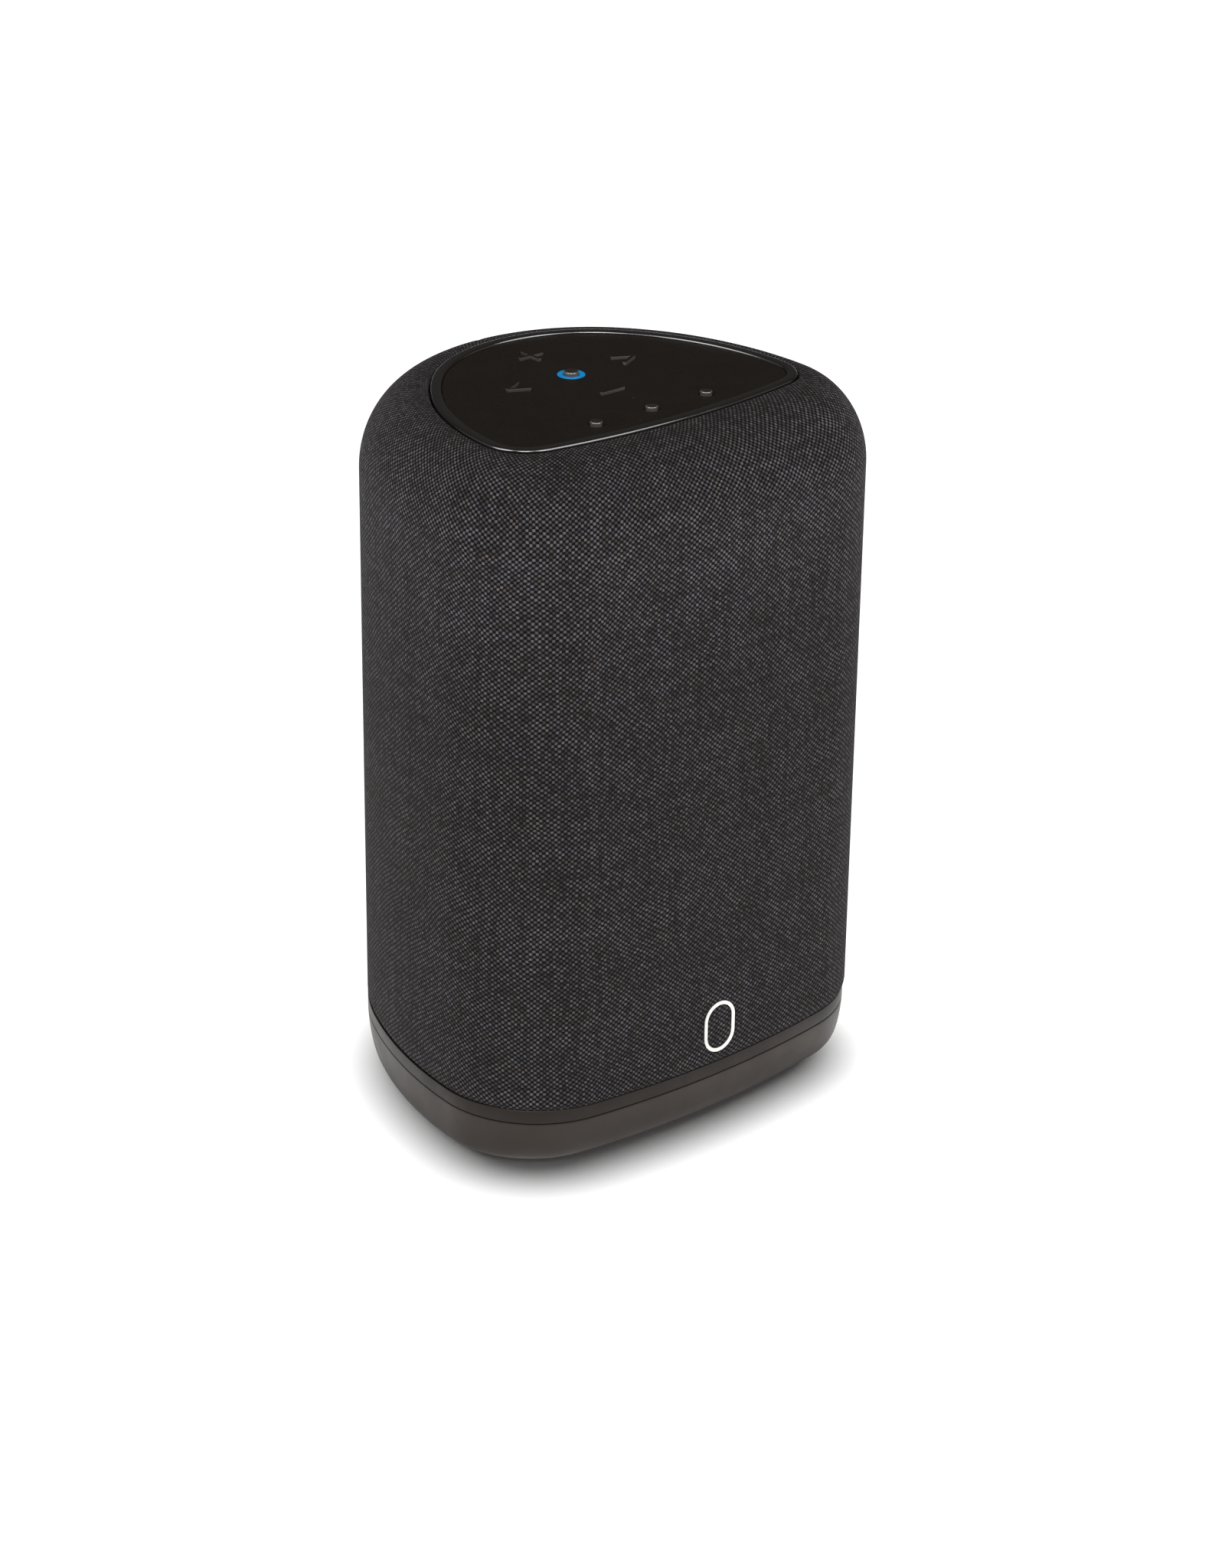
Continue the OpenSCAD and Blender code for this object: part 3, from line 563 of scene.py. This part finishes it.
def smooth_round(values, spread):
    """Blurs each row of values round the outline, over this many points."""
    count = values.shape[1]
    wave = np.fft.rfftfreq(count) * 2 * math.pi * spread
    return np.fft.irfft(np.fft.rfft(values, axis=1) * np.exp(-(wave**2) / 2), count, axis=1)


HEM_H = 2
# (inset, rise above the hem) of the turned hem, and (blend, inset, drop below the cloth's top)
# of the tuck against the trim ring.
HEM = ((1.5, 0.45), (1.05, 0), (0.62, 0.12), (0.28, 0.6), (0.08, 1.25), (0, HEM_H))
TUCK = ((0.02, -0.75, 0.02), (0, -0.62, 0.12), (0, -0.48, 0.4), (0, -0.4, 0.8), (0, -0.4, 1.5))


def make_sleeve():
    """The cloth as a closed double skin: up the outside, over the shoulder, and down inside."""
    outer = (
        [(1, inset, HEM_Z + rise) for inset, rise in HEM]
        + [(1, 0, z) for z in np.linspace(HEM_Z + HEM_H, SHOULDER_Z, 62)[1:-1]]
        + shoulder(0, np.linspace(0, 86, 34))
        + [(blend, inset, CLOTH_TOP - drop) for blend, inset, drop in TUCK]
    )
    inner = (
        [(0, -0.95, CLOTH_TOP - 1.9), (0, -1.3, CLOTH_TOP - 1.1)]
        + shoulder(CLOTH_T, np.linspace(80, 0, 10))
        + [(1, CLOTH_T, z) for z in np.linspace(SHOULDER_Z, HEM_Z + 2.2, 12)[1:]]
        + [(1, 1.55, HEM_Z + 1.2)]
    )
    grid = rings_grid(outer + inner)
    seam_groove(grid, 3, len(outer) - len(TUCK) - 1)
    columns = np.arange(AROUND + 1) / AROUND * 2 * round(GIRTH / THREAD_W / 2)
    steps = np.linalg.norm(np.diff(grid, axis=0), axis=2)
    rows = smooth_round(np.vstack([np.zeros(AROUND), np.cumsum(steps, axis=0)]), 8) / THREAD_H
    sleeve = loop_loft("woven_sleeve", grid, columns, rows)
    cut_window(sleeve, 0.35)
    shade(sleeve.data)
    paint(sleeve, MATERIALS["fabric"])
    place(sleeve, "fabric_sleeve")


# ---- Trim ring and base ----
def rounded_edge(inset, z, radius, start, end, steps=6):
    """Ring entries round a quarter circle in the section, centre (inset, z)."""
    out = []
    for t in np.linspace(math.radians(start), math.radians(end), steps):
        out.append((0, inset - radius * math.cos(t), z + radius * math.sin(t)))
    return out


def make_rim():
    foot = RIM_LOW.z
    profile = (
        [(0, 0, foot), (0, 0, RIM_TOP - 1.4)]
        + rounded_edge(RIM_ROUND_OUT, RIM_TOP - RIM_ROUND_OUT, RIM_ROUND_OUT, 0, 90)
        + rounded_edge(RIM_FACE - RIM_ROUND_IN, RIM_TOP - RIM_ROUND_IN, RIM_ROUND_IN, 90, 180)
        + [(0, RIM_FACE, foot)]
    )
    rim = loop_loft("trim_ring", rings_grid(profile))
    return place(paint(rim, MATERIALS["rim"]), "top_rim")


LIP = 0.2
LIP_CUT = 0.06


def skirt(t):
    """A ring of the skirt, t of the way down from just under the seam to the toe."""
    w = 1 - math.sqrt(1 - t**TOE_POWER)
    top = SEAM_Z - 2 * LIP
    inset = BASE_INSET + (TOE_INSET - BASE_INSET) * w
    return (1, inset, top + (FOOT_GAP - top) * t, BASE_SHIFT, TOE_WIDEN * w)


def make_base():
    """The base shell below the seam, and the band between the seam and the cloth."""
    ledge = FOOT_GAP + FLOOR_T + 0.2
    lip = [
        (BASE_INSET, SEAM_Z - LIP),
        (BASE_INSET + LIP_CUT, SEAM_Z - LIP_CUT),
        (BASE_INSET + LIP, SEAM_Z),
    ]
    inside = [
        (2.9, SEAM_Z),
        (2.9, SEAM_Z - 4.2),
        (4.4, SEAM_Z - 5.6),
        (4.4, ledge),
        (PLATE_EDGE - 0.1, ledge),
        (PLATE_EDGE - 0.1, FOOT_GAP),
    ]
    steps = 24
    profile = (
        [skirt(1 - (k / steps) ** 2) for k in range(steps + 1)]
        + [(1, inset, z, BASE_SHIFT) for inset, z in lip]
        + [(1, inset, z) for inset, z in inside]
    )
    place(paint(loop_loft("base_skirt", rings_grid(profile)), SKIRT.material), "base_shell")

    low, high = SEAM_Z + 0.15, HEM_Z - 0.05
    face = [
        (BASE_INSET + LIP, low),
        (BASE_INSET + LIP_CUT, low + LIP_CUT),
        (BASE_INSET, low + LIP),
        (BASE_INSET, high - 0.15),
        (BASE_INSET + 0.15, high),
    ]
    spigot = [
        (3, high),
        (3, BAND_HIGH.z),
        (4.7, BAND_HIGH.z),
        (4.7, BAND_LOW.z),
        (3, BAND_LOW.z),
        (3, low),
    ]
    profile = [(1, inset, z, BASE_SHIFT) for inset, z in [(3.9, low)] + face]
    profile += [(1, inset, z) for inset, z in spigot]
    place(paint(loop_loft("base_collar", rings_grid(profile)), COLLAR.material), "base_band")


# ---- Panel, keys and badge ----
SYMBOL_KEYS = ("volume_up_button", "volume_down_button", "previous_button", "next_button")
ROUND_KEYS = ("play_button", "preset_button_1", "preset_button_2", "preset_button_3")
FLAT_NORMAL_Z = 0.93


def paint_tops_in_shade(piece):
    """Painted shade: the faces which look straight up get the panel's dark soft touch material, so
    each key's top is darker than its lighter walls.
    """
    piece.data.materials.append(MATERIALS["panel"])
    for face in piece.data.polygons:
        face.material_index = 1 if face.normal.z > FLAT_NORMAL_Z else 0
    return piece


def make_top():
    """The key panel and all that shows in it, the badge and the status lens."""
    panel = paint(refined("control_panel", 0.1, angle=25), MATERIALS["panel"])
    # Each key is painted in two tones: lighter walls as painted light, and tops in the panel's
    # dark material as painted shade.
    for node in SYMBOL_KEYS:
        paint_tops_in_shade(paint(refined(node, 0.1), MATERIALS["keys"]))
    round_keys = [refined(node, 0.3, 5) for node in ROUND_KEYS]
    for key in round_keys:
        paint_tops_in_shade(paint(key, KEY_GLOSS))
    paint(refined("light_ring", 0.08), MATERIALS["light_guide"])
    paint(refined("front_badge", 0.12), MATERIALS["badge"])
    paint(refined("status_lens", 0.1), MATERIALS["lens"])
    return panel, round_keys


# ---- Connectors ----
def strips(name, boxes, material, body="root", bevel=0.08):
    """A group of small rounded bars, each (low corner, high corner)."""
    bm = bmesh.new()
    for low, high in boxes:
        low, high = Vector(low), Vector(high)
        move = Matrix.Translation((low + high) / 2 * MM) @ Matrix.Diagonal((*(high - low) * MM, 1))
        bmesh.ops.create_cube(bm, size=1, matrix=move)
    bmesh.ops.bevel(
        bm, geom=bm.edges[:], offset=bevel * MM, segments=2, affect="EDGES", profile=0.5
    )
    mesh = bpy.data.meshes.new(name)
    bm.to_mesh(mesh)
    bm.free()
    shade(mesh)
    piece = paint(new_piece(name, mesh), material)
    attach(piece, body)
    return piece


JACK_WIRE_PITCH = 1.02
USB_PAD_PITCH = 2.3


def make_back():
    """The connector plate and its sockets, with their contacts and lamps."""
    paint(refined("rear_plate", 0.3), MATERIALS["rear_plastic"])
    paint(refined("power_inlet", 0.25), MATERIALS["inlet_plastic"])
    paint(refined("inlet_pins", 0.5), MATERIALS["contact_metal"])
    paint(refined("aux_jack", 0.3), MATERIALS["inlet_plastic"])
    paint(refined("setup_button", 0.25), MATERIALS["setup_key"])
    paint(refined("ethernet_jack", 0.15), MATERIALS["jack_metal"])

    low, high = box_mm("ethernet_jack")
    middle_x, middle_z = (low.x + high.x) / 2, (low.z + high.z) / 2
    wires = []
    for i in range(8):
        x = middle_x + (i - 3.5) * JACK_WIRE_PITCH
        wires.append((
            (x - 0.2, high.y - 10, middle_z + 4.3),
            (x + 0.2, high.y - 2.5, middle_z + 4.75),
        ))
    strips("ethernet_contacts", wires, GOLD)
    lamps = [
        ((middle_x + s * 6.6 - 0.6, high.y - 0.4, middle_z - 6.1),
         (middle_x + s * 6.6 + 0.6, high.y + 0.05, middle_z - 4.3))
        for s in (-1, 1)
    ]
    strips("ethernet_lamps", lamps, LAMP)

    socket = refined("usb_socket", 0.08)
    paint(socket, MATERIALS["jack_metal"])
    socket.data.materials.append(INSERT)
    low, high = box_mm("usb_socket")
    for face in socket.data.polygons:
        c = face.center / MM
        inside = low.x + 1 < c.x < high.x - 1 and low.z + 0.6 < c.z < high.z - 0.5
        face.material_index = 1 if inside and c.y < high.y - 1 else 0
    pads = []
    for i in range(4):
        x = (low.x + high.x) / 2 + (i - 1.5) * USB_PAD_PITCH
        pads.append((
            (x - 0.55, high.y - 12, low.z + 2.83),
            (x + 0.55, high.y - 3.4, low.z + 2.97),
        ))
    strips("usb_contacts", pads, GOLD, bevel=0.03)


def make_underside():
    paint(refined("bottom_plate", 0.3), MATERIALS["bottom_plastic"])
    paint(refined("foot_ring", 0.35), MATERIALS["foot_rubber"])


# ---- Stage: lengths here are in metres ----
FLOOR_HALF = 6
WHITE = (1, 1, 1)
WARM = (1.0, 0.84, 0.74)
AMBIENT = 0.06

# Suns: name, azimuth and elevation they come from, strength, and angle across, in degrees.
FLOOR_LIGHT = ("floor_light", 140, 86, 3.95, 7.6)
FLOOR_LIFT = ("floor_lift", -40, 80, 0.12, 20)
OBJECT_LIGHTS = (
    ("left_key", -100, 60, 0.6, 30),
    ("right_key", 10, 60, 0.8, 30),
    ("front_key", -42, 62, 2.3, 24),
    ("left_fill", -130, 5, 0.25, 60),
    ("right_fill", 45, 5, 0.3, 60),
    ("left_bounce", -130, -66, 0.55, 80),
    ("front_bounce", -45, -66, 0.7, 80),
    ("right_bounce", 30, -66, 0.75, 80),
)
GLINTS = (("left_glint", -108, 45, 2.6, 40), ("right_glint", 26, 45, 2.6, 40))

# The camera: where it is seen from, in degrees, how far off, and the point it looks at.
CAMERA_AZIMUTH = -39.95
CAMERA_ELEVATION = 25.2
CAMERA_ROLL = 0.68
CAMERA_DISTANCE = 0.9915
CAMERA_TARGET = (0, -0.00725, 0.0863)


def make_stage():
    """A white floor, plain and matt."""
    mesh = bpy.data.meshes.new("floor")
    size = FLOOR_HALF
    corners = [(-size, -size, 0), (size, -size, 0), (size, size, 0), (-size, size, 0)]
    mesh.from_pydata(corners, [], [(0, 1, 2, 3)])
    floor = new_piece("floor", mesh)
    s = Shader("white_floor")
    s.surface.inputs["Base Color"].default_value = (0.93, 0.93, 0.93, 1)
    s.surface.inputs["Roughness"].default_value = 0.9
    s.surface.inputs["Specular IOR Level"].default_value = 0.0
    mesh.materials.append(s.material)
    return floor


def direction(azimuth, elevation):
    """Unit vector from the object towards this azimuth and elevation, in degrees."""
    a, e = math.radians(azimuth), math.radians(elevation)
    return Vector((math.sin(a) * math.cos(e), -math.cos(a) * math.cos(e), math.sin(e)))


def sun(name, azimuth, elevation, strength, angle):
    light = bpy.data.lights.new(name, "SUN")
    light.color = WARM if name.endswith("fill") else WHITE
    light.energy = strength
    light.angle = math.radians(angle)
    lamp = bpy.data.objects.new(name, light)
    bpy.context.scene.collection.objects.link(lamp)
    lamp.rotation_euler = direction(azimuth, elevation).to_track_quat("Z", "Y").to_euler()
    return lamp


def group(name, members, state):
    """A collection for light linking, which includes or excludes its members."""
    made = bpy.data.collections.new(name)
    for member in members:
        made.objects.link(member)
    for entry in made.collection_objects:
        entry.light_linking.link_state = state
    return made


def make_world():
    """Faint even light on everything; where the floor ends, the camera sees white."""
    world = bpy.data.worlds.new("studio")
    world.use_nodes = True
    nodes, links = world.node_tree.nodes, world.node_tree.links
    ambient, seen = nodes["Background"], nodes.new("ShaderNodeBackground")
    for background, strength in ((ambient, AMBIENT), (seen, 1.0)):
        background.inputs["Color"].default_value = (1, 1, 1, 1)
        background.inputs["Strength"].default_value = strength
    split = nodes.new("ShaderNodeMixShader")
    links.new(nodes.new("ShaderNodeLightPath").outputs["Is Camera Ray"], split.inputs[0])
    links.new(ambient.outputs[0], split.inputs[1])
    links.new(seen.outputs[0], split.inputs[2])
    links.new(split.outputs[0], nodes["World Output"].inputs["Surface"])
    bpy.context.scene.world = world
    bpy.context.scene.view_settings.view_transform = "Standard"


def make_lights(floor, cap, shiny):
    """A floor light whose soft shadow is thrown by the cap of the object alone, soft light on
    the object, white light coming back up off the floor, and glints for the shiny edges."""
    only_floor = group("only_floor", [floor], "INCLUDE")
    all_but_floor = group("all_but_floor", [floor], "EXCLUDE")
    casters = group("shadow_casters", cap, "INCLUDE")
    catchers = group("glint_catchers", shiny, "INCLUDE")
    for numbers, blockers in ((FLOOR_LIGHT, casters), (FLOOR_LIFT, only_floor)):
        lamp = sun(*numbers)
        lamp.light_linking.receiver_collection = only_floor
        lamp.light_linking.blocker_collection = blockers
    for numbers in OBJECT_LIGHTS:
        lamp = sun(*numbers)
        lamp.light_linking.receiver_collection = all_but_floor
        if lamp.name.endswith("bounce"):
            lamp.light_linking.blocker_collection = all_but_floor
    for numbers in GLINTS:
        lamp = sun(*numbers)
        lamp.light_linking.receiver_collection = catchers


def make_camera():
    back = direction(CAMERA_AZIMUTH, CAMERA_ELEVATION)
    roll = math.radians(CAMERA_ROLL)
    right = (-back).cross(Vector((0, 0, 1))).normalized()
    up = right.cross(-back)
    turned_right = math.cos(roll) * right + math.sin(roll) * up
    turned_up = math.cos(roll) * up - math.sin(roll) * right
    camera = bpy.data.cameras.new("camera")
    camera.sensor_width = 36
    camera.lens = 89.3
    camera.shift_x = 0.007
    camera.shift_y = -0.0227
    camera.clip_start = 0.05
    holder = bpy.data.objects.new("camera", camera)
    bpy.context.scene.collection.objects.link(holder)
    stand = Matrix.Translation(Vector(CAMERA_TARGET) + back * CAMERA_DISTANCE)
    holder.matrix_world = stand @ Matrix((turned_right, turned_up, back)).transposed().to_4x4()
    bpy.context.scene.camera = holder


# ---- The scene ----
for node_name, node_object in frame["nodes"].items():
    paint(node_object, MATERIALS[SLOT_OF[node_name]])
make_camera()
floor = make_stage()
make_sleeve()
rim = make_rim()
make_base()
panel, round_keys = make_top()
make_back()
make_underside()
make_world()
make_lights(floor, [rim, panel, frame["nodes"]["shoulder_housing"]], [rim] + round_keys)
